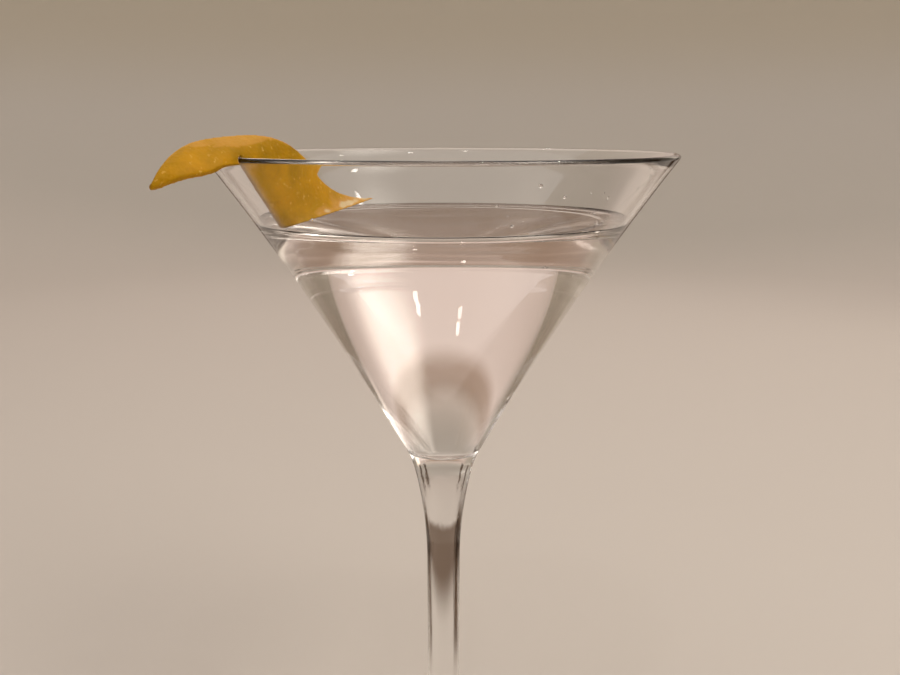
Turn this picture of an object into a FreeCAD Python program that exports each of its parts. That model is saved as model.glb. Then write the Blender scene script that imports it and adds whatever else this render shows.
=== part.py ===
import FreeCAD, Part
import math
import os

import Sketcher

# A stemmed cocktail glass, the clear drink that fills its bowl, and a strip of lemon peel whose slit
# sits on the rim. Millimetres, +Z up, origin at the centre of the foot's underside. The peel stands
# on the rim's -X side, turned towards -Y.

SIZES = {
    # glass, outside
    "glass_height": 178.0,
    "rim_radius": 58.3,
    "lip_radius": 0.7,            # the lip is a full round, so the wall there is twice this
    "side_outer_radius": 731.0,   # the bowl's side is a very long arc that flares to the rim
    "neck_drop": 77.6,            # from the rim down to where the bowl's side meets the neck
    "neck_radius": 10.0,
    "neck_upper_arc": 24.7,
    "neck_lower_arc": 108.7,
    "stem_radius": 4.45,
    "foot_radius": 40.0,
    "foot_edge_radius": 1.0,
    "foot_slope": 6.0,            # degrees, top of the foot
    "foot_flare_arc": 17.0,
    # glass, inside
    "side_inner_radius": 1100.0,
    "floor_below_neck": 0.4,      # from where the neck begins down to the bowl's floor
    "floor_radius": 4.6,
    "floor_fillet": 3.2,
    # drink
    "surface_drop": 16.5,         # from the rim down to the drink's surface
    "drink_clearance": 0.25,
    # lemon twist
    "twist_bearing": 41.0,        # degrees from -X towards -Y, where the slit sits
    "twist_thickness": 1.5,
    "twist_clearance": 0.3,       # to the glass, all round the slit and along the wall
    "twist_crown": 1.3,           # how far the middle of the strip stands out from its edges
    "twist_crown_width": 9.0,     # a narrower strip is crowned less
    "twist_curl": 4.0,            # how far the inner end curls forward
    "twist_lean": 3.5,            # how far the lower edge leans towards -Y outside the glass
    "twist_outer_reach": 18.8,    # from the rim out to the outer point
    "twist_outer_drop": 5.8,
    "twist_crest": 4.7,           # from the rim up to the top of the strip
    "twist_above_drink": 1.2,     # from the drink up to the lowest corner, which leans on the wall
    "twist_inner_reach": 36.8,    # from the rim in to the inner point
    "twist_inner_drop": 10.3,
}

STATIONS = 41       # rows that the strip's skins are drawn through, along it
CROSSINGS = 9       # and across it
CURL_START = 0.72   # share of the strip's length where its inner end starts to curl

ORIGIN = (-1, 1)
X_AXIS = -1
Y_AXIS = -2
START, END, CENTRE = 1, 2, 3


def make_sheet(doc):
    """The spreadsheet that holds every driving size."""
    sheet = doc.addObject("Spreadsheet::Sheet", "Sizes")
    for row, (name, value) in enumerate(SIZES.items(), start=1):
        sheet.set(f"A{row}", name)
        sheet.set(f"B{row}", str(value))
        sheet.setAlias(f"B{row}", name)
    doc.recompute()
    return sheet


# ---- the glass's section, worked out once to start its sketch close to its solution ----

def meet(centre_a, reach_a, centre_b, reach_b):
    """The point at these two distances from two centres, on the right of the way from a to b."""
    ax, ay = centre_a
    bx, by = centre_b
    gap = math.hypot(bx - ax, by - ay)
    along = (reach_a ** 2 - reach_b ** 2 + gap ** 2) / (2 * gap)
    aside = math.sqrt(reach_a ** 2 - along ** 2)
    ux, uy = (bx - ax) / gap, (by - ay) / gap
    return ax + along * ux + aside * uy, ay + along * uy - aside * ux


def towards(point, target, length):
    """The point at this length from a point, on the line to its target."""
    gap = math.hypot(target[0] - point[0], target[1] - point[1])
    return (point[0] + (target[0] - point[0]) * length / gap,
            point[1] + (target[1] - point[1]) * length / gap)


def section_points(size):
    """Centres and joints of the glass's half section, as (radius, height) pairs."""
    lip = (size.rim_radius - size.lip_radius, size.glass_height - size.lip_radius)
    neck = (size.neck_radius, size.neck_height)
    outer = meet(neck, size.side_outer_radius, lip, size.side_outer_radius + size.lip_radius)
    fillet = (size.floor_radius, size.floor_height + size.floor_fillet)
    inner = meet(fillet, size.side_inner_radius + size.floor_fillet,
                 lip, size.side_inner_radius - size.lip_radius)
    upper = towards(neck, outer, size.neck_upper_arc)
    reach = size.stem_radius + size.neck_lower_arc - upper[0]
    fall = math.sqrt((size.neck_lower_arc - size.neck_upper_arc) ** 2 - reach ** 2)
    lower = (size.stem_radius + size.neck_lower_arc, upper[1] - fall)
    waist = towards(lower, upper, size.neck_lower_arc)
    slope = math.radians(size.foot_slope)
    edge = (size.foot_radius - size.foot_edge_radius, size.foot_edge_radius)
    brow = (edge[0] + size.foot_edge_radius * math.sin(slope),
            edge[1] + size.foot_edge_radius * math.cos(slope))
    flare_x = size.stem_radius + size.foot_flare_arc
    flare_y = brow[1] + (size.foot_flare_arc - (flare_x - brow[0]) * math.sin(slope)) / math.cos(slope)
    return {
        "lip": lip, "neck": neck, "outer": outer, "inner": inner, "fillet": fillet,
        "upper": upper, "lower": lower, "waist": waist, "edge": edge, "brow": brow,
        "flare": (flare_x, flare_y),
        "instep": (flare_x - size.foot_flare_arc * math.sin(slope),
                   flare_y - size.foot_flare_arc * math.cos(slope)),
        "lip_out": towards(lip, outer, size.lip_radius),
        "lip_in": towards(lip, inner, -size.lip_radius),
        "floor_out": towards(fillet, inner, size.floor_fillet),
    }


class Sizes:
    """The sheet's numbers, read by name, and the heights that follow from them."""

    def __init__(self, sheet):
        for name in SIZES:
            setattr(self, name, float(sheet.get(name)))
        self.neck_height = self.glass_height - self.neck_drop
        self.floor_height = self.neck_height - self.floor_below_neck
        self.level_height = self.glass_height - self.surface_drop


LEVEL = "Sizes.glass_height - Sizes.surface_drop"
FLOOR = "Sizes.glass_height - Sizes.neck_drop - Sizes.floor_below_neck"


# ---- sketch helpers ----

def vector(point):
    return FreeCAD.Vector(point[0], point[1], 0)


def add_line(sketch, start, end):
    return sketch.addGeometry(Part.LineSegment(vector(start), vector(end)), False)


def add_arc(sketch, centre, start, end):
    """An arc drawn anticlockwise from start to end."""
    radius = math.hypot(start[0] - centre[0], start[1] - centre[1])
    first = math.atan2(start[1] - centre[1], start[0] - centre[0])
    last = math.atan2(end[1] - centre[1], end[0] - centre[0])
    if last < first:
        last += 2 * math.pi
    circle = Part.Circle(vector(centre), FreeCAD.Vector(0, 0, 1), radius)
    return sketch.addGeometry(Part.ArcOfCircle(circle, first, last), False)


def join(sketch, first, first_end, second, second_end, kind="Coincident"):
    sketch.addConstraint(Sketcher.Constraint(kind, first, first_end, second, second_end))


def bind(sketch, name, kind, arguments, value, formula):
    """A named dimension, tied to the sheet."""
    index = sketch.addConstraint(Sketcher.Constraint(kind, *arguments, value))
    sketch.renameConstraint(index, name)
    sketch.setExpression(f"Constraints.{name}", formula)


def place(sketch, name, geometry, end, point, formula_x, formula_y):
    """Ties a point's radius and height to the sheet."""
    bind(sketch, f"{name}_x", "DistanceX", (*ORIGIN, geometry, end), point[0], formula_x)
    bind(sketch, f"{name}_y", "DistanceY", (*ORIGIN, geometry, end), point[1], formula_y)


def reference(sketch, name, kind, arguments):
    """A measured dimension that other sketches read."""
    index = sketch.addConstraint(Sketcher.Constraint(kind, *arguments, 1.0))
    sketch.setDriving(index, False)
    sketch.renameConstraint(index, name)


def make_body(doc, name):
    body = doc.addObject("PartDesign::Body", name)
    body.Label = name
    sketch = body.newObject("Sketcher::SketchObject", f"{name}_section")
    plane = next(f for f in body.Origin.OriginFeatures if f.Role == "XZ_Plane")
    sketch.AttachmentSupport = (plane, [""])
    sketch.MapMode = "FlatFace"
    return body, sketch


def revolve(doc, body, sketch):
    doc.recompute()
    turned = body.newObject("PartDesign::Revolution", f"{body.Name}_turned")
    turned.Profile = sketch
    turned.ReferenceAxis = (sketch, ["V_Axis"])
    turned.Angle = 360.0
    doc.recompute()


# ---- glass ----

def make_glass(doc, size):
    """Foot, stem, neck and bowl in one turned section."""
    at = section_points(size)
    body, sketch = make_body(doc, "glass")
    floor_y = size.floor_height
    under = add_line(sketch, (0, 0), (at["edge"][0], 0))
    edge = add_arc(sketch, at["edge"], (at["edge"][0], 0), at["brow"])
    top = add_line(sketch, at["brow"], at["instep"])
    flare = add_arc(sketch, at["flare"], (size.stem_radius, at["flare"][1]), at["instep"])
    stem = add_line(sketch, (size.stem_radius, at["flare"][1]), (size.stem_radius, at["lower"][1]))
    lower = add_arc(sketch, at["lower"], at["waist"], (size.stem_radius, at["lower"][1]))
    upper = add_arc(sketch, at["upper"], at["neck"], at["waist"])
    outer = add_arc(sketch, at["outer"], at["lip_out"], at["neck"])
    lip = add_arc(sketch, at["lip"], at["lip_out"], at["lip_in"])
    inner = add_arc(sketch, at["inner"], at["lip_in"], at["floor_out"])
    fillet = add_arc(sketch, at["fillet"], (at["fillet"][0], floor_y), at["floor_out"])
    floor = add_line(sketch, (at["fillet"][0], floor_y), (0, floor_y))
    axis = add_line(sketch, (0, floor_y), (0, 0))

    join(sketch, under, START, *ORIGIN)
    sketch.addConstraint(Sketcher.Constraint("Horizontal", under))
    sketch.addConstraint(Sketcher.Constraint("Vertical", stem))
    sketch.addConstraint(Sketcher.Constraint("Horizontal", floor))
    sketch.addConstraint(Sketcher.Constraint("PointOnObject", floor, END, Y_AXIS))
    join(sketch, floor, END, axis, START)
    join(sketch, axis, END, under, START)
    smooth = [
        (under, END, edge, START), (edge, END, top, START), (top, END, flare, END),
        (flare, START, stem, START), (stem, END, lower, END), (lower, START, upper, END),
        (upper, START, outer, END), (outer, START, lip, START), (lip, END, inner, START),
        (inner, END, fillet, END), (fillet, START, floor, START),
    ]
    for ends in smooth:
        join(sketch, *ends, kind="Tangent")

    radii = {
        "foot_edge_radius": edge, "foot_flare_arc": flare, "neck_lower_arc": lower,
        "neck_upper_arc": upper, "side_outer_radius": outer, "lip_radius": lip,
        "side_inner_radius": inner, "floor_fillet": fillet,
    }
    for name, arc in radii.items():
        bind(sketch, name, "Radius", (arc,), getattr(size, name), f"Sizes.{name}")
    bind(sketch, "foot_reach", "DistanceX", (*ORIGIN, edge, CENTRE), at["edge"][0],
         "Sizes.foot_radius - Sizes.foot_edge_radius")
    bind(sketch, "foot_slope", "Angle", (top, END, X_AXIS, START),
         math.radians(size.foot_slope), "Sizes.foot_slope * 1 deg")
    bind(sketch, "stem_radius", "DistanceX", (*ORIGIN, stem, START), size.stem_radius,
         "Sizes.stem_radius")
    place(sketch, "neck", outer, END, at["neck"], "Sizes.neck_radius",
          "Sizes.glass_height - Sizes.neck_drop")
    place(sketch, "lip", lip, CENTRE, at["lip"], "Sizes.rim_radius - Sizes.lip_radius",
          "Sizes.glass_height - Sizes.lip_radius")
    bind(sketch, "floor_y", "DistanceY", (*ORIGIN, floor, END), floor_y, FLOOR)
    bind(sketch, "floor_radius", "DistanceX", (*ORIGIN, fillet, CENTRE), size.floor_radius,
         "Sizes.floor_radius")
    for name, arc in (("outer", outer), ("inner", inner)):
        reference(sketch, f"{name}_centre_x", "DistanceX", (*ORIGIN, arc, CENTRE))
        reference(sketch, f"{name}_centre_y", "DistanceY", (*ORIGIN, arc, CENTRE))
    revolve(doc, body, sketch)
    return body


# ---- drink ----

def side_radius(size, centre, arc_radius, height):
    """How far from the axis a side arc is at a height."""
    return centre[0] - math.sqrt(arc_radius ** 2 - (height - centre[1]) ** 2)


def make_drink(doc, size):
    """A solid up to the level surface, set in from the bowl's inside by its clearance."""
    at = section_points(size)
    body, sketch = make_body(doc, "drink")
    gap = size.drink_clearance
    floor_y = size.floor_height + gap
    level = size.level_height
    side_arc = size.side_inner_radius + gap
    level_x = side_radius(size, at["inner"], side_arc, level)
    knee = towards(at["fillet"], at["inner"], size.floor_fillet - gap)
    floor = add_line(sketch, (0, floor_y), (at["fillet"][0], floor_y))
    fillet = add_arc(sketch, at["fillet"], (at["fillet"][0], floor_y), knee)
    side = add_arc(sketch, at["inner"], (level_x, level), knee)
    surface = add_line(sketch, (level_x, level), (0, level))
    axis = add_line(sketch, (0, level), (0, floor_y))

    join(sketch, floor, END, fillet, START, kind="Tangent")
    join(sketch, fillet, END, side, END, kind="Tangent")
    join(sketch, side, START, surface, START)
    join(sketch, surface, END, axis, START)
    join(sketch, axis, END, floor, START)
    sketch.addConstraint(Sketcher.Constraint("Horizontal", floor))
    sketch.addConstraint(Sketcher.Constraint("Horizontal", surface))
    sketch.addConstraint(Sketcher.Constraint("PointOnObject", floor, START, Y_AXIS))
    sketch.addConstraint(Sketcher.Constraint("PointOnObject", surface, END, Y_AXIS))
    bind(sketch, "side_centre_x", "DistanceX", (*ORIGIN, side, CENTRE), at["inner"][0],
         "glass_section.Constraints.inner_centre_x")
    bind(sketch, "side_centre_y", "DistanceY", (*ORIGIN, side, CENTRE), at["inner"][1],
         "glass_section.Constraints.inner_centre_y")
    bind(sketch, "side_radius", "Radius", (side,), side_arc,
         "Sizes.side_inner_radius + Sizes.drink_clearance")
    bind(sketch, "floor_y", "DistanceY", (*ORIGIN, floor, START), floor_y,
         f"{FLOOR} + Sizes.drink_clearance")
    bind(sketch, "floor_radius", "DistanceX", (*ORIGIN, fillet, CENTRE), size.floor_radius,
         "Sizes.floor_radius")
    bind(sketch, "level", "DistanceY", (*ORIGIN, surface, END), level, LEVEL)
    revolve(doc, body, sketch)
    return body


# ---- lemon twist ----

def make_rim_slot(doc, size):
    """The bowl's wall and lip grown by the twist's clearance: what the slit is cut with."""
    at = section_points(size)
    body, sketch = make_body(doc, "rim_slot")
    gap = size.twist_clearance
    foot_y = size.level_height
    outer_arc = size.side_outer_radius - gap
    inner_arc = size.side_inner_radius + gap
    outer_foot = (side_radius(size, at["outer"], outer_arc, foot_y), foot_y)
    inner_foot = (side_radius(size, at["inner"], inner_arc, foot_y), foot_y)
    grown = size.lip_radius + gap
    lip_out = towards(at["lip"], at["outer"], grown)
    lip_in = towards(at["lip"], at["inner"], -grown)
    outer = add_arc(sketch, at["outer"], lip_out, outer_foot)
    lip = add_arc(sketch, at["lip"], lip_out, lip_in)
    inner = add_arc(sketch, at["inner"], lip_in, inner_foot)
    foot = add_line(sketch, inner_foot, outer_foot)

    join(sketch, outer, START, lip, START, kind="Tangent")
    join(sketch, lip, END, inner, START, kind="Tangent")
    join(sketch, inner, END, foot, START)
    join(sketch, foot, END, outer, END)
    sketch.addConstraint(Sketcher.Constraint("Horizontal", foot))
    place(sketch, "lip", lip, CENTRE, at["lip"], "Sizes.rim_radius - Sizes.lip_radius",
          "Sizes.glass_height - Sizes.lip_radius")
    for name, arc in (("outer", outer), ("inner", inner)):
        bind(sketch, f"{name}_x", "DistanceX", (*ORIGIN, arc, CENTRE), at[name][0],
             f"glass_section.Constraints.{name}_centre_x")
    bind(sketch, "lip_radius", "Radius", (lip,), grown, "Sizes.lip_radius + Sizes.twist_clearance")
    bind(sketch, "inner_radius", "Radius", (inner,), inner_arc,
         "Sizes.side_inner_radius + Sizes.twist_clearance")
    bind(sketch, "outer_radius", "Radius", (outer,), outer_arc,
         "Sizes.side_outer_radius - Sizes.twist_clearance")
    bind(sketch, "foot_y", "DistanceY", (*ORIGIN, foot, START), foot_y, LEVEL)
    revolve(doc, body, sketch)
    return body


def smooth_curve(points):
    """A curve through points at even steps of its parameter, which runs from 0 to 1."""
    curve = Part.BSplineCurve()
    last = len(points) - 1
    curve.interpolate(points, Parameters=[i / last for i in range(last + 1)])
    return curve


def twist_edges(size):
    """The strip's lower and upper long edges, from the outer point to the inner end.

    Each point is (reach out from the rim, height from the rim, lean towards -Y). The lower edge
    goes down the bowl's wall once it is inside.
    """
    at = section_points(size)
    wall_arc = size.side_inner_radius + size.twist_clearance
    corner_drop = size.surface_drop - size.twist_above_drink

    def on_wall(share, lean):
        drop = share * corner_drop
        wall = side_radius(size, at["inner"], wall_arc, size.glass_height - drop)
        return wall - size.rim_radius, -drop, lean

    out, low = size.twist_outer_reach, size.twist_outer_drop
    crest, lean = size.twist_crest, size.twist_lean
    inward, sunk = -size.twist_inner_reach, -size.twist_inner_drop
    lower = [
        (0.99 * out, -low, 0.3 * lean), (0.78 * out, -0.74 * low, 0.7 * lean),
        (0.54 * out, -0.56 * low, lean), (0.26 * out, -0.41 * low, lean),
        (0.03 * out, -0.26 * low, 0.8 * lean), on_wall(0.26, 0.9), on_wall(0.56, 0.4),
        on_wall(0.79, 0.1), on_wall(0.92, 0.0), on_wall(1.0, 0.0),
    ]
    upper = [
        (out, -0.82 * low, 0.2 * lean), (0.84 * out, 0.06 * crest, -0.6 * lean),
        (0.58 * out, 0.70 * crest, -lean), (0.28 * out, 0.91 * crest, -1.25 * lean),
        (-0.06 * out, crest, -1.3 * lean), (0.26 * inward, 0.81 * crest, -1.25 * lean),
        (0.46 * inward, 0.06 * sunk, -1.2 * lean), (0.61 * inward, 0.62 * sunk, -1.4 * lean),
        (0.79 * inward, 0.93 * sunk, -1.9 * lean), (inward, sunk, -2.6 * lean),
    ]
    return lower, upper


def make_twist_strip(doc, size):
    """The whole strip before its slit: a crowned sheet between its two long edges, thickened."""
    bearing = math.radians(size.twist_bearing)
    radial = FreeCAD.Vector(-math.cos(bearing), -math.sin(bearing), 0)
    front = FreeCAD.Vector(0, -1, 0)
    upright = FreeCAD.Vector(0, 0, 1)

    def in_space(point):
        reach, height, lean = point
        return (radial * (size.rim_radius + reach) + upright * (size.glass_height + height)
                + front * lean)

    lower, upper = (smooth_curve([in_space(p) for p in edge]) for edge in twist_edges(size))

    def zest_point(along, across):
        """On the outer skin: crowned across the strip, and curled forward near the inner end."""
        low, high = lower.value(along), upper.value(along)
        hump = 4 * across * (1 - across)
        crown = size.twist_crown * min(1.0, (high - low).Length / size.twist_crown_width)
        curl = size.twist_curl * max(0.0, (along - CURL_START) / (1 - CURL_START)) ** 2
        return low + (high - low) * across + front * hump * (crown + curl)

    def facing(along):
        """Square to the strip at one station, on its zest side."""
        step = 0.02
        before, after = max(0.0, along - step), min(1.0, along + step)
        forward = (lower.value(after) + upper.value(after)
                   - lower.value(before) - upper.value(before))
        square = forward.cross(upper.value(along) - lower.value(along))
        square.normalize()
        return square if square.dot(front) > 0 else square * -1

    skins = []
    for depth in (0.0, size.twist_thickness):
        grid = []
        for i in range(STATIONS):
            along = i / (STATIONS - 1)
            inset = facing(along) * depth
            grid.append([zest_point(along, j / (CROSSINGS - 1)) - inset for j in range(CROSSINGS)])
        surface = Part.BSplineSurface()
        surface.interpolate(grid)
        skins.append(surface)
    faces = [skin.toShape() for skin in skins]
    for side in range(4):
        edges = []
        for skin in skins:
            u0, u1, v0, v1 = skin.bounds()
            edges.append([skin.uIso(u0), skin.uIso(u1), skin.vIso(v0), skin.vIso(v1)][side].toShape())
        faces.append(Part.makeRuledSurface(*edges))
    shell = Part.Shell(faces)
    shell.sewShape()
    solid = Part.Solid(shell)
    if solid.Volume < 0:
        solid.reverse()
    strip = doc.addObject("Part::Feature", "twist_strip")
    strip.Shape = solid
    return strip


def make_twist(doc, size):
    strip = make_twist_strip(doc, size)
    slot = make_rim_slot(doc, size)
    twist = doc.addObject("Part::Cut", "lemon_twist")
    twist.Label = "lemon_twist"
    twist.Base = strip
    twist.Tool = slot
    doc.recompute()
    return twist


# ---- the whole ----

def check(doc, parts):
    for item in doc.Objects:
        if {"Invalid", "Error"} & set(item.State):
            raise RuntimeError(f"{item.Name} is {item.State}")
    for part in parts:
        if part.Shape.isNull() or not part.Shape.isValid() or len(part.Shape.Solids) != 1:
            raise RuntimeError(f"{part.Label} is not one valid solid")


def main():
    doc = FreeCAD.newDocument("cocktail")
    size = Sizes(make_sheet(doc))
    parts = [make_glass(doc, size), make_drink(doc, size), make_twist(doc, size)]
    doc.recompute()
    check(doc, parts)
    os.makedirs("parts", exist_ok=True)
    for part in parts:
        part.Shape.exportStep(f"parts/{part.Label}.step")
        print(part.Label, round(part.Shape.Volume, 1), "mm3")


main()
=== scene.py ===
import math
import random

import bmesh
import bpy
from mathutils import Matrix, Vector, noise
from mathutils.bvhtree import BVHTree


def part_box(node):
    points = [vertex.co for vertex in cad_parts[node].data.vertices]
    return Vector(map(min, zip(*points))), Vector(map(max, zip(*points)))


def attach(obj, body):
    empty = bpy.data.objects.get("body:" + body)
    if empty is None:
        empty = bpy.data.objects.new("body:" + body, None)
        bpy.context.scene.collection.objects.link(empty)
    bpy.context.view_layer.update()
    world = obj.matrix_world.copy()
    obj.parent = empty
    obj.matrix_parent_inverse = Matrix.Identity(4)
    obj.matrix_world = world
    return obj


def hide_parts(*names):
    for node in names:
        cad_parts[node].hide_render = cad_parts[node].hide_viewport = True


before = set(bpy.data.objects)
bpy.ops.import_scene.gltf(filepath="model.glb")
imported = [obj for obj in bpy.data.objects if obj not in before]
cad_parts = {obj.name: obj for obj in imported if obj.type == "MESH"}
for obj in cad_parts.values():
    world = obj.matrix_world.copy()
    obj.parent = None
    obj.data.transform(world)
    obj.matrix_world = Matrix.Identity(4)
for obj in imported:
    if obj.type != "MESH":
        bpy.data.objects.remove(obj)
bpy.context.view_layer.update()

MM = 0.001
_, glass_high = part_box("glass")
_, drink_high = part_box("drink")

RIM_Z = glass_high[2]
RIM_R = glass_high[0]
LEVEL_Z = drink_high[2]

# The glass's half section, in metres, as the construction model has it.
LIP = 0.7 * MM
SIDE_OUTER = 731.0 * MM
SIDE_INNER = 1100.0 * MM
NECK_DROP = 77.6 * MM
NECK_R = 10.0 * MM
NECK_UPPER = 24.7 * MM
NECK_LOWER = 108.7 * MM
STEM_R = 4.45 * MM
FOOT_R = 40.0 * MM
FOOT_EDGE = 1.0 * MM
FOOT_SLOPE = math.radians(6.0)
FOOT_FLARE = 17.0 * MM
FLOOR_BELOW_NECK = 0.4 * MM
FLOOR_R = 4.6 * MM
FLOOR_FILLET = 3.2 * MM

INTO_WALL = 0.12 * MM      # how far the drink reaches into the wall
MENISCUS_RISE = 0.8 * MM
MENISCUS_DECAY = 1.0 * MM  # the liquid's rise falls off this fast from the wall

SPLASHES = 34
ON_WALL = 16               # this many are drops on the wall, the rest bubbles in the drink

AROUND = 256               # segments of a turned piece that bends light
ALIKE = 1e-7               # two points of an outline this close are one

GLASS_IOR = 1.5
DRINK_IOR = 1.345
WHITE = (1.0, 1.0, 1.0, 1.0)


# ---- materials ----

def bare_material(name):
    material = bpy.data.materials.new(name)
    material.use_nodes = True
    tree = material.node_tree
    tree.nodes.clear()
    return material, tree, tree.nodes.new("ShaderNodeOutputMaterial")


def new_material(name):
    material, tree, output = bare_material(name)
    shader = tree.nodes.new("ShaderNodeBsdfPrincipled")
    tree.links.new(shader.outputs["BSDF"], output.inputs["Surface"])
    return material, tree, shader, output


def node(tree, kind, **settings):
    """A new node, with the settings put on its inputs or, where it has none so named, on itself."""
    made = tree.nodes.new(kind)
    for key, value in settings.items():
        if key in made.inputs:
            made.inputs[key].default_value = value
        else:
            setattr(made, key, value)
    return made


def maths(tree, operation, *values):
    """The result of a Math node, whose values are numbers or sockets."""
    made = node(tree, "ShaderNodeMath", operation=operation)
    for socket, value in zip(made.inputs, values):
        if isinstance(value, (int, float)):
            socket.default_value = value
        else:
            tree.links.new(value, socket)
    return made.outputs["Value"]


def map_range(tree, value, from_min, from_max, to_min=0.0, to_max=1.0, kind="LINEAR"):
    made = node(tree, "ShaderNodeMapRange", interpolation_type=kind)
    made.inputs["From Min"].default_value = from_min
    made.inputs["From Max"].default_value = from_max
    made.inputs["To Min"].default_value = to_min
    made.inputs["To Max"].default_value = to_max
    tree.links.new(value, made.inputs["Value"])
    return made.outputs["Result"]


def colour_ramp(tree, factor, first, second, interpolation="LINEAR"):
    """A ramp between two stops, each a position and a colour."""
    made = tree.nodes.new("ShaderNodeValToRGB")
    made.color_ramp.interpolation = interpolation
    for element, (position, colour) in zip(made.color_ramp.elements, (first, second)):
        element.position = position
        element.color = colour
    tree.links.new(factor, made.inputs["Fac"])
    return made.outputs["Color"]


def add_bump(tree, shader, height, strength, distance):
    bump = node(tree, "ShaderNodeBump", Strength=strength, Distance=distance)
    tree.links.new(height, bump.inputs["Height"])
    tree.links.new(bump.outputs["Normal"], shader.inputs["Normal"])


def make_clear(shader, ior):
    shader.inputs["Base Color"].default_value = WHITE
    shader.inputs["Transmission Weight"].default_value = 1.0
    shader.inputs["Roughness"].default_value = 0.0
    shader.inputs["IOR"].default_value = ior


def stretched(tree, scale):
    """Object coordinates, scaled differently along each axis."""
    coordinates = tree.nodes.new("ShaderNodeTexCoord")
    mapping = tree.nodes.new("ShaderNodeMapping")
    mapping.inputs["Scale"].default_value = scale
    tree.links.new(coordinates.outputs["Object"], mapping.inputs["Vector"])
    return mapping.outputs["Vector"]


def split_axes(tree, vector):
    split = tree.nodes.new("ShaderNodeSeparateXYZ")
    tree.links.new(vector, split.inputs["Vector"])
    return split.outputs


def glass_material():
    """Clear glass, with the faint draw lines that run along a pulled stem."""
    material, tree, shader, output = new_material("clear_glass")
    make_clear(shader, GLASS_IOR)
    lines = node(tree, "ShaderNodeTexNoise", Scale=1.0, Detail=3.0)
    tree.links.new(stretched(tree, (700.0, 700.0, 14.0)), lines.inputs["Vector"])
    height = split_axes(tree, stretched(tree, (1.0, 1.0, 1.0)))["Z"]
    below_neck = map_range(tree, height, neck[1], neck[1] - 12 * MM)
    above_foot = map_range(tree, height, 12 * MM, 24 * MM)
    on_stem = maths(tree, "MULTIPLY", above_foot, below_neck)
    drawn = maths(tree, "MULTIPLY", lines.outputs["Fac"], on_stem)
    add_bump(tree, shader, drawn, 0.35, 0.0005)
    return material


def drink_material():
    """Clear liquid that takes a faint warm tint from its depth."""
    material, tree, shader, output = new_material("clear_drink")
    make_clear(shader, DRINK_IOR)
    absorb = tree.nodes.new("ShaderNodeVolumeAbsorption")
    absorb.inputs["Color"].default_value = (0.90, 0.74, 0.66, 1.0)
    absorb.inputs["Density"].default_value = 3.0
    tree.links.new(absorb.outputs["Volume"], output.inputs["Volume"])
    return material


def mix_colours(tree, factor, first, second):
    mix = tree.nodes.new("ShaderNodeMix")
    mix.data_type = "RGBA"
    tree.links.new(factor, mix.inputs["Factor"])
    for socket, colour in ((mix.inputs["A"], first), (mix.inputs["B"], second)):
        if isinstance(colour, tuple):
            socket.default_value = colour
        else:
            tree.links.new(colour, socket)
    return mix.outputs["Result"]


def peel_material():
    """Zest with oil pores, mottled from olive to orange, over pale pith.

    The mesh's "zest" attribute is 1 on the zest, less at a cut edge and along the top ridge, and 0 on
    the pith; along the ridge the lower share paints a highlight.
    """
    material, tree, shader, output = new_material("lemon_peel")
    at = stretched(tree, (1.0, 1.0, 1.0))

    def texture(kind, scale, **settings):
        made = node(tree, kind, Scale=scale, **settings)
        tree.links.new(at, made.inputs["Vector"])
        return made.outputs

    mottle = texture("ShaderNodeTexNoise", 160.0, Detail=3.0)["Fac"]
    speck = texture("ShaderNodeTexNoise", 900.0, Detail=2.0)["Fac"]
    pores = texture("ShaderNodeTexVoronoi", 1150.0, Randomness=1.0)["Distance"]
    side = node(tree, "ShaderNodeAttribute", attribute_name="zest").outputs["Fac"]

    zest = colour_ramp(tree, mottle, (0.30, (0.36, 0.19, 0.002, 1.0)),
                       (0.70, (0.56, 0.275, 0.004, 1.0)))
    fleck = map_range(tree, speck, 0.62, 0.80)
    zest = mix_colours(tree, fleck, zest, (0.68, 0.42, 0.08, 1.0))

    # Painted light: the zest below the rim is painted up to 1.2 times brighter, because the inner half
    # is seen through the bowl's wall, which dims it.
    height = split_axes(tree, at)["Z"]
    painted_brightening = map_range(tree, height, RIM_Z - 5 * MM, RIM_Z + 2 * MM, 1.2, 1.0)
    brightened_zest = node(tree, "ShaderNodeVectorMath", operation="SCALE")
    tree.links.new(zest, brightened_zest.inputs[0])
    tree.links.new(painted_brightening, brightened_zest.inputs["Scale"])

    # The edge colour is the cut faces' own colour, and along the top ridge a painted highlight.
    edge = mix_colours(tree, mottle, (0.56, 0.27, 0.035, 1.0), (0.65, 0.35, 0.07, 1.0))
    pith_share = map_range(tree, side, 0.05, 0.35)
    edge_and_highlight_share = map_range(tree, side, 0.35, 0.75)
    under = mix_colours(tree, pith_share, (0.74, 0.62, 0.40, 1.0), edge)
    colour = mix_colours(tree, edge_and_highlight_share, under, brightened_zest.outputs["Vector"])
    tree.links.new(colour, shader.inputs["Base Color"])
    tree.links.new(map_range(tree, side, 0.0, 1.0, 0.62, 0.46), shader.inputs["Roughness"])
    shader.inputs["Subsurface Weight"].default_value = 0.25
    shader.inputs["Subsurface Radius"].default_value = (0.0012, 0.0007, 0.0002)
    shader.inputs["Subsurface Scale"].default_value = 1.0
    shader.inputs["IOR"].default_value = 1.45
    shader.inputs["Specular IOR Level"].default_value = 0.15
    add_bump(tree, shader, pores, 0.6, 0.00018)
    return material


def assign(thing, material):
    thing.data.materials.clear()
    thing.data.materials.append(material)


# ---- outlines, as (radius, height) pairs ----

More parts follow.
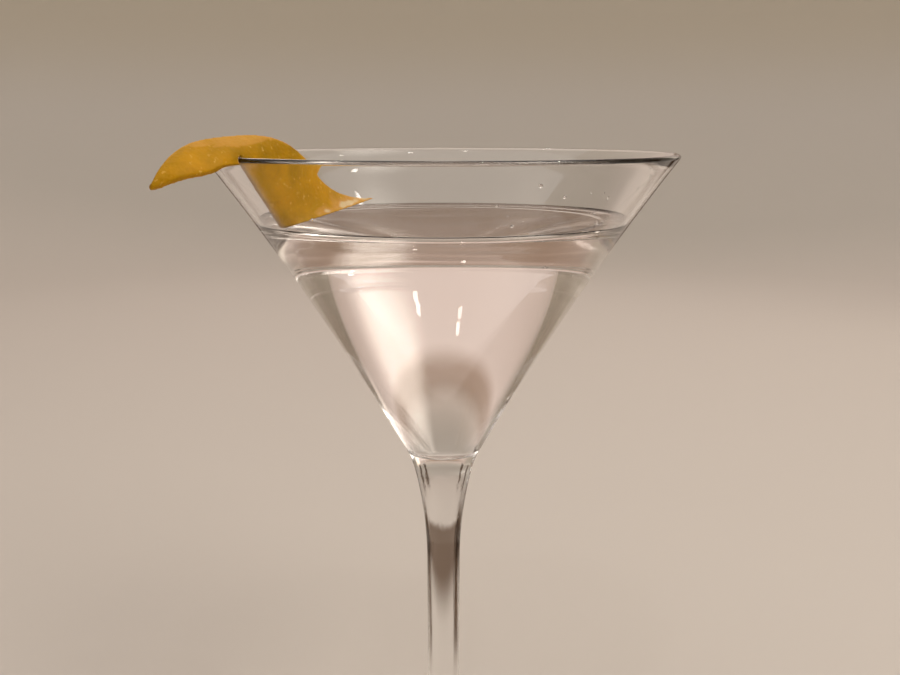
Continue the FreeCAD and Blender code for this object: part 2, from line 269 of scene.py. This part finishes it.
def meet(centre_a, reach_a, centre_b, reach_b):
    """The point at these two distances from two centres, on the right of the way from a to b."""
    ax, ay = centre_a
    bx, by = centre_b
    gap = math.hypot(bx - ax, by - ay)
    along = (reach_a ** 2 - reach_b ** 2 + gap ** 2) / (2 * gap)
    aside = math.sqrt(reach_a ** 2 - along ** 2)
    ux, uy = (bx - ax) / gap, (by - ay) / gap
    return ax + along * ux + aside * uy, ay + along * uy - aside * ux


def towards(point, target, length):
    """The point at this length from a point, on the line to its target."""
    gap = math.hypot(target[0] - point[0], target[1] - point[1])
    return (point[0] + (target[0] - point[0]) * length / gap,
            point[1] + (target[1] - point[1]) * length / gap)


def arc(centre, start, end, steps, sweep=0):
    """Points along an arc from start to end, both ends in it.

    It is the shorter arc, unless sweep asks for the one that turns left (1) or right (-1).
    """
    radius = math.hypot(start[0] - centre[0], start[1] - centre[1])
    first = math.atan2(start[1] - centre[1], start[0] - centre[0])
    last = math.atan2(end[1] - centre[1], end[0] - centre[0])
    turn = (last - first + math.pi) % (2 * math.pi) - math.pi
    if sweep and (turn > 0) != (sweep > 0):
        turn += 2 * math.pi * sweep
    return [(centre[0] + radius * math.cos(first + turn * i / steps),
             centre[1] + radius * math.sin(first + turn * i / steps)) for i in range(steps + 1)]


def line(start, end, steps):
    """Points along the straight way from start to end, both ends in it."""
    return [(start[0] + (end[0] - start[0]) * i / steps, start[1] + (end[1] - start[1]) * i / steps)
            for i in range(steps + 1)]


def chain(*runs):
    """The runs end to end, with shared points once."""
    points = []
    for run in runs:
        for point in run:
            if not points or math.hypot(point[0] - points[-1][0], point[1] - points[-1][1]) > ALIKE:
                points.append(point)
    return points


neck = (NECK_R, RIM_Z - NECK_DROP)
lip = (RIM_R - LIP, RIM_Z - LIP)
floor_z = neck[1] - FLOOR_BELOW_NECK
outer = meet(neck, SIDE_OUTER, lip, SIDE_OUTER + LIP)
fillet = (FLOOR_R, floor_z + FLOOR_FILLET)
inner = meet(fillet, SIDE_INNER + FLOOR_FILLET, lip, SIDE_INNER - LIP)


def wall_radius(height, grow=0.0):
    """How far the bowl's inside is from the axis, grown into the wall."""
    return inner[0] - math.sqrt((SIDE_INNER - grow) ** 2 - (height - inner[1]) ** 2)


def glass_outline():
    """From the middle of the foot's underside, up the outside, over the rim and down the inside."""
    upper = towards(neck, outer, NECK_UPPER)
    reach = STEM_R + NECK_LOWER - upper[0]
    fall = math.sqrt((NECK_LOWER - NECK_UPPER) ** 2 - reach ** 2)
    lower = (STEM_R + NECK_LOWER, upper[1] - fall)
    waist = towards(lower, upper, NECK_LOWER)
    edge = (FOOT_R - FOOT_EDGE, FOOT_EDGE)
    brow = (edge[0] + FOOT_EDGE * math.sin(FOOT_SLOPE), edge[1] + FOOT_EDGE * math.cos(FOOT_SLOPE))
    flare_x = STEM_R + FOOT_FLARE
    flare_z = brow[1] + (FOOT_FLARE - (flare_x - brow[0]) * math.sin(FOOT_SLOPE)) / math.cos(FOOT_SLOPE)
    instep = (flare_x - FOOT_FLARE * math.sin(FOOT_SLOPE), flare_z - FOOT_FLARE * math.cos(FOOT_SLOPE))
    return chain(
        line((0, 0), (edge[0], 0), 12),
        arc(edge, (edge[0], 0), brow, 10),
        line(brow, instep, 10),
        arc((flare_x, flare_z), instep, (STEM_R, flare_z), 18),
        line((STEM_R, flare_z), (STEM_R, lower[1]), 12),
        arc(lower, (STEM_R, lower[1]), waist, 18),
        arc(upper, waist, neck, 16),
        arc(outer, neck, towards(lip, outer, LIP), 34),
        arc(lip, towards(lip, outer, LIP), towards(lip, inner, -LIP), 12, sweep=1),
        arc(inner, towards(lip, inner, -LIP), towards(fillet, inner, FLOOR_FILLET), 34),
        arc(fillet, towards(fillet, inner, FLOOR_FILLET), (fillet[0], floor_z), 10),
        line((fillet[0], floor_z), (0, floor_z), 6),
    )


def drink_outline():
    """From the bowl's floor up the wall, and along the surface back to the axis."""
    grow = INTO_WALL
    knee = towards(fillet, inner, FLOOR_FILLET + grow)
    side = []
    steps = 44
    top = LEVEL_Z + MENISCUS_RISE
    for i in range(steps + 1):
        height = knee[1] + (top - knee[1]) * i / steps
        side.append((wall_radius(height, grow), height))
    edge_r = wall_radius(top, grow)
    calm_r = edge_r - 6 * MENISCUS_DECAY
    surface = []
    for i in range(1, 25):
        radius = edge_r + (calm_r - edge_r) * (i / 24) ** 1.6
        surface.append((radius, LEVEL_Z + MENISCUS_RISE * math.exp((radius - edge_r) / MENISCUS_DECAY)))
    return chain(
        line((0, floor_z - grow), (fillet[0], floor_z - grow), 6),
        arc(fillet, (fillet[0], floor_z - grow), knee, 10),
        side,
        surface,
        line((calm_r, LEVEL_Z), (0, LEVEL_Z), 24),
    )


# ---- shapes ----

def add_object(name, data):
    thing = bpy.data.objects.new(name, data)
    bpy.context.collection.objects.link(thing)
    return thing


def lathe(name, profile, segments):
    """A surface of revolution about the Z axis."""
    mesh = bmesh.new()
    rings = []
    for radius, height in profile:
        if radius < ALIKE:
            rings.append([mesh.verts.new((0, 0, height))])
            continue
        ring = []
        for k in range(segments):
            turn = 2 * math.pi * k / segments
            ring.append(mesh.verts.new((radius * math.cos(turn), radius * math.sin(turn), height)))
        rings.append(ring)
    for low, high in zip(rings, rings[1:]):
        for k in range(segments):
            n = (k + 1) % segments
            corners = [low[k % len(low)], low[n % len(low)], high[n % len(high)], high[k % len(high)]]
            mesh.faces.new(list(dict.fromkeys(corners)))
    bmesh.ops.recalc_face_normals(mesh, faces=mesh.faces)
    data = bpy.data.meshes.new(name)
    mesh.to_mesh(data)
    mesh.free()
    data.shade_smooth()
    return add_object(name, data)


def make_glass():
    glass = lathe("stemmed_glass", glass_outline(), AROUND)
    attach(glass, "root")
    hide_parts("glass")
    assign(glass, glass_material())
    glass.visible_shadow = False  # light reaches the drink and the peel through it


def make_drink():
    """The drink, with very low ripples that die out at the wall."""
    drink = lathe("clear_drink", drink_outline(), AROUND)
    for v in drink.data.vertices:
        if abs(v.co.z - LEVEL_Z) < 0.01 * MM:
            calm = 1 - math.hypot(v.co.x, v.co.y) / wall_radius(LEVEL_Z)
            v.co.z += 0.06 * MM * min(1.0, 4 * calm) * noise.noise(v.co * 70.0)
    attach(drink, "root")
    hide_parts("drink")
    assign(drink, drink_material())


def make_drops():
    """Tiny drops on the bowl's inside above the drink, and bubbles near the drink's edge."""
    random.seed(11)
    mesh = bmesh.new()
    for k in range(SPLASHES):
        turn = math.radians(random.uniform(-75, 75) if k % 3 else random.uniform(0, 360))
        size = random.uniform(0.18, 0.50) * MM
        if k < ON_WALL:
            height = LEVEL_Z + random.uniform(2.5, 12.0) * MM
            reach = wall_radius(height) - 0.1 * size
            squash = 0.55
        else:
            height = LEVEL_Z + 0.35 * MM
            reach = wall_radius(height) - random.uniform(1.6, 3.2) * MM
            squash = 1.0
        made = bmesh.ops.create_icosphere(mesh, subdivisions=3, radius=size)
        out = Vector((math.cos(turn), math.sin(turn), 0))
        for v in made["verts"]:
            v.co -= out * v.co.dot(out) * (1 - squash)
            v.co += out * reach + Vector((0, 0, height))
    data = bpy.data.meshes.new("splashes")
    mesh.to_mesh(data)
    mesh.free()
    data.shade_smooth()
    drops = add_object("splashes", data)
    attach(drops, "root")
    material, tree, shader, output = new_material("splashes")
    make_clear(shader, DRINK_IOR)
    assign(drops, material)


def evaluated_copy(source):
    graph = bpy.context.evaluated_depsgraph_get()
    return bpy.data.meshes.new_from_object(source.evaluated_get(graph), depsgraph=graph)


def side_faces(data, front, wanted):
    """The strip's narrow side faces that are wanted, for measuring distances to."""
    faces = [tuple(p.vertices) for p in data.polygons
             if abs(p.normal.dot(front)) < 0.5 and wanted(p.center, p.normal)]
    return BVHTree.FromPolygons([v.co for v in data.vertices], faces)


def close_slit(co, normal):
    """Moves a point of the slit's sides up to the wall, and lifts the tooth under the rim."""
    reach = math.hypot(co.x, co.y)
    out = Vector((co.x, co.y, 0)) / reach
    if co.z > RIM_Z + 1.5 * MM:
        return Vector((0, 0, 0))
    wall_mid = wall_radius(min(co.z, RIM_Z)) + LIP
    gap = abs(reach - wall_mid) - LIP * 1.15
    side = 1 if reach > wall_mid else -1
    move = Vector((0, 0, 0))
    if gap < 0.6 * MM and normal.dot(out) * side < -0.5:
        move -= out * side * 0.30 * MM
    low = RIM_Z - 1.0 * MM
    if side > 0 and co.z < low:
        nearness = min(1.0, max(0.0, 1 - gap / (7 * MM)))
        move.z += (low - co.z) * 0.8 * nearness
    return move


def make_peel():
    """The twist remeshed finely, dimpled with oil pores on its zest side."""
    draft = add_object("peel_draft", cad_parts["lemon_twist"].data.copy())
    remesh = draft.modifiers.new("even", "REMESH")
    remesh.mode = "VOXEL"
    remesh.voxel_size = 0.23 * MM
    smooth = draft.modifiers.new("ease", "SMOOTH")
    smooth.factor = 0.5
    smooth.iterations = 8
    data = evaluated_copy(draft)
    data.name = "lemon_peel"
    bpy.data.objects.remove(draft)
    peel = add_object("lemon_peel", data)
    front = Vector((0.0, -1.0, 0.0))
    node_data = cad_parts["lemon_twist"].data
    cut = side_faces(node_data, front, lambda at, normal: normal.x < -0.3 and normal.z < 0.2
                     and at.z < RIM_Z - 2 * MM)
    highlight_ridge = side_faces(node_data, front, lambda at, normal: normal.z > 0.3 and at.z > RIM_Z)
    zest = data.attributes.new("zest", "FLOAT", "POINT")
    normals = [v.normal.copy() for v in data.vertices]
    for v, normal in zip(data.vertices, normals):
        facing = normal.dot(front)
        share = min(1.0, max(0.0, 0.5 + 1.4 * facing))
        margin = cut.find_nearest(v.co)[3] + 0.35 * MM * noise.noise(v.co * 500.0)
        bared = min(1.0, max(0.0, (margin - 0.9 * MM) / (0.8 * MM)))
        share *= 0.15 + 0.85 * bared
        # Painted highlight: near the top ridge the zest share drops, so that the edge colour paints a
        # highlight band along it.
        to_highlight_ridge = highlight_ridge.find_nearest(v.co)[3] + 0.4 * MM * noise.noise(v.co * 300.0)
        share *= 0.45 + 0.55 * min(1.0, max(0.0, to_highlight_ridge / (0.9 * MM)))
        zest.data[v.index].value = share
        dimple = noise.voronoi(v.co * 1150.0)[0][0]
        wave = noise.noise(v.co * 260.0)
        v.co += normal * MM * (share * (0.05 * dimple - 0.025) + 0.05 * wave)
        v.co += close_slit(v.co, normal)
    data.update()
    data.shade_smooth()
    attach(peel, "root")
    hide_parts("lemon_twist")
    assign(peel, peel_material())


# ---- stage ----

SWEEP_R = 1.6              # how far the backdrop is from the axis
SWEEP_FLOOR = 1.0          # how far its floor is flat
SWEEP_TOP = 2.0
FLOOR_DROP = 0.3 * MM      # the foot renders black where it touches the floor
BOWL_Z = 0.14              # the height that the panels face

WARM_WHITE = (1.0, 0.95, 0.88)
# Shades of the gauze cards: painted shade that only the glass and the drink show.
DARK_CARD = (0.16, 0.10, 0.06, 1.0)
GREY_CARD = (0.34, 0.27, 0.22, 1.0)
FLOOR_CARD = (0.22, 0.19, 0.17, 1.0)


def make_stage():
    """A pale floor that sweeps up into a backdrop, with painted shade: darker and browner up the
    backdrop, and darker in front, where only the glass shows it.
    """
    bend = SWEEP_R - SWEEP_FLOOR
    profile = chain(
        line((0, 0), (SWEEP_FLOOR, 0), 4),
        arc((SWEEP_FLOOR, bend), (SWEEP_FLOOR, 0), (SWEEP_R, bend), 24),
        line((SWEEP_R, bend), (SWEEP_R, SWEEP_TOP), 6),
    )
    sweep = lathe("sweep", [(r, z - FLOOR_DROP) for r, z in profile], 96)
    material, tree, shader, output = new_material("pale_sweep")
    shader.inputs["Roughness"].default_value = 0.9
    shader.inputs["Specular IOR Level"].default_value = 0.1
    at = split_axes(tree, stretched(tree, (1.0, 1.0, 1.0)))
    # Painted shade: the backdrop turns darker and browner from the floor up.
    shaded_upward = colour_ramp(tree, at["Z"], (0.19, (0.62, 0.575, 0.53, 1.0)),
                         (0.37, (0.58, 0.52, 0.435, 1.0)), "EASE")
    # Painted shade: darker towards the front, where only the glass mirrors it.
    front = map_range(tree, at["Y"], -0.2, -1.3, kind="SMOOTHSTEP")
    colour = mix_colours(tree, front, shaded_upward, (0.26, 0.24, 0.22, 1.0))
    tree.links.new(colour, shader.inputs["Base Color"])
    assign(sweep, material)


def bearing_place(azimuth, elevation, distance):
    """A place seen from the bowl: azimuth from +Y towards +X, in degrees, and elevation."""
    turn, rise = math.radians(azimuth), math.radians(elevation)
    return Vector((distance * math.cos(rise) * math.sin(turn),
                   distance * math.cos(rise) * math.cos(turn),
                   BOWL_Z + distance * math.sin(rise)))


def feathered(tree, feather):
    """One in the middle of a flat card, fading to nothing at its four edges."""
    place = tree.nodes.new("ShaderNodeTexCoord")
    along = split_axes(tree, place.outputs["Generated"])
    fades = []
    for axis in ("X", "Y"):
        from_far = maths(tree, "SUBTRACT", 1.0, along[axis])
        nearest = maths(tree, "MINIMUM", along[axis], from_far)
        fades.append(map_range(tree, nearest, 0.0, feather, kind="SMOOTHSTEP"))
    return maths(tree, "MULTIPLY", *fades)


def make_card(name, width, height, material):
    """A flat card that the camera does not see and that casts no shadow."""
    data = bpy.data.meshes.new(name)
    w, h = width / 2, height / 2
    data.from_pydata([(-w, -h, 0), (w, -h, 0), (w, h, 0), (-w, h, 0)], [], [(0, 1, 2, 3)])
    card = add_object(name, data)
    card.visible_camera = False
    card.visible_shadow = False
    assign(card, material)
    return card


def soft_panel(name, azimuth, elevation, distance, width, height, colour, strength, feather):
    """A light panel that faces the bowl, fades out towards its edges and adds to what is behind it."""
    material, tree, output = bare_material(name)
    face = tree.nodes.new("ShaderNodeNewGeometry")
    front = maths(tree, "SUBTRACT", 1.0, face.outputs["Backfacing"])
    level = maths(tree, "MULTIPLY", feathered(tree, feather), front)
    glow = tree.nodes.new("ShaderNodeEmission")
    glow.inputs["Color"].default_value = (*colour, 1.0)
    tree.links.new(maths(tree, "MULTIPLY", level, strength), glow.inputs["Strength"])
    clear = tree.nodes.new("ShaderNodeBsdfTransparent")
    total = tree.nodes.new("ShaderNodeAddShader")
    tree.links.new(glow.outputs["Emission"], total.inputs[0])
    tree.links.new(clear.outputs["BSDF"], total.inputs[1])
    tree.links.new(total.outputs["Shader"], output.inputs["Surface"])
    panel = make_card(name, width, height, material)
    panel.location = bearing_place(azimuth, elevation, distance)
    to_bowl = Vector((0, 0, BOWL_Z)) - panel.location
    panel.rotation_euler = to_bowl.to_track_quat("Z", "Y").to_euler()


def gauze(name, shade, width, height, feather=0.25):
    """A feathered dark card of painted shade, that only the glass and the drink show."""
    material, tree, output = bare_material(name)
    clear = tree.nodes.new("ShaderNodeBsdfTransparent")
    tree.links.new(clear.outputs["BSDF"], output.inputs["Surface"])
    colour = mix_colours(tree, feathered(tree, feather), WHITE, shade)
    tree.links.new(colour, clear.inputs["Color"])
    card = make_card(name, width, height, material)
    card.visible_diffuse = False
    return card


def upright_card(name, azimuth, distance, width, height, shade=DARK_CARD):
    """A gauze of painted shade that stands on the floor beside the set."""
    card = gauze(name, shade, width, height)
    place = bearing_place(azimuth, 0, distance)
    card.location = (place.x, place.y, height / 2)
    card.rotation_euler = (math.radians(90), 0, -math.radians(azimuth))


def floor_card(name, shade, place, width, depth):
    """A gauze of painted shade that lies just over the floor, each at its own height, which the bowl's
    wall mirrors.
    """
    card = gauze(name, shade, width, depth)
    card.location = (*place, (3 + 1.5 * abs(place[0]) / 0.2 + place[1]) * MM)


def make_world():
    world = bpy.data.worlds.new("studio")
    world.use_nodes = True
    background = world.node_tree.nodes["Background"]
    background.inputs["Color"].default_value = (1.0, 0.94, 0.88, 1.0)
    background.inputs["Strength"].default_value = 1.0
    bpy.context.scene.world = world


def make_panels():
    # name, azimuth, elevation, distance, width, height, colour, strength, feather
    soft_panel("back_panel", 6, 35.5, 0.9, 1.60, 1.19, (1.0, 0.77, 0.73), 0.42, 0.19)
    soft_panel("warm_panel", 40, 14, 0.8, 0.22, 0.40, (1.0, 0.90, 0.74), 0.9, 0.35)
    soft_panel("front_panel", 128, 42, 1.1, 0.85, 1.0, (1.0, 0.93, 0.83), 4.6, 0.34)
    for k, (azimuth, elevation) in enumerate([(-162, 60), (152, 62), (96, 56), (-60, 64)]):
        soft_panel(f"lamp_{k}", azimuth, elevation, 0.9, 0.035, 0.035, WARM_WHITE, 120.0, 0.3)


def make_gauzes():
    # name, azimuth, distance, width, height
    upright_card("flag_right", 25, 0.55, 0.05, 0.20)
    upright_card("flag_left", -25, 0.55, 0.045, 0.20)
    upright_card("flag_right_b", 37, 0.55, 0.07, 0.20)
    upright_card("flag_left_b", -39, 0.55, 0.06, 0.20)
    upright_card("flag_far_right", 72, 0.50, 0.18, 0.32, GREY_CARD)
    upright_card("flag_far_left", -66, 0.50, 0.18, 0.32, GREY_CARD)
    upright_card("stem_flag_right", 48, 0.048, 0.020, 0.087)
    upright_card("stem_flag_left", -42, 0.048, 0.028, 0.087)
    # name, shade, place, width, depth
    floor_card("shade_back", (0.30, 0.24, 0.20, 1.0), (0, 0.17), 0.5, 0.18)
    floor_card("shade_front", FLOOR_CARD, (0, -0.16), 0.42, 0.22)
    floor_card("shade_left", FLOOR_CARD, (-0.20, 0.03), 0.24, 0.26)
    floor_card("shade_right", FLOOR_CARD, (0.20, 0.03), 0.24, 0.26)
    # The drink's surface mirrors this one, behind the glass and a little above the rim.
    screen = gauze("surface_shade", (0.56, 0.47, 0.40, 1.0), 0.8, 0.074, 0.42)
    screen.location = (0, 0.5, 0.215)
    screen.rotation_euler = (math.radians(90), 0, 0)


# ---- camera ----

def make_camera():
    data = bpy.data.cameras.new("camera")
    data.sensor_width = 36.0
    data.lens = 38.3
    camera = add_object("camera", data)
    camera.location = (0.0, -4.2 * RIM_R, RIM_Z + 0.115 * RIM_R)
    camera.rotation_euler = (math.radians(90 - 12.5), 0.0, math.radians(-0.42))
    bpy.context.scene.camera = camera


def let_light_through():
    """Enough bounces for nested clear pieces: fewer leave black patches at the rim."""
    scene = bpy.context.scene
    scene.view_settings.view_transform = "Standard"
    scene.cycles.max_bounces = 32
    scene.cycles.transmission_bounces = 32
    scene.cycles.glossy_bounces = 32


make_camera()
make_stage()
make_world()
make_panels()
make_gauzes()
make_glass()
make_drink()
make_drops()
make_peel()
let_light_through()
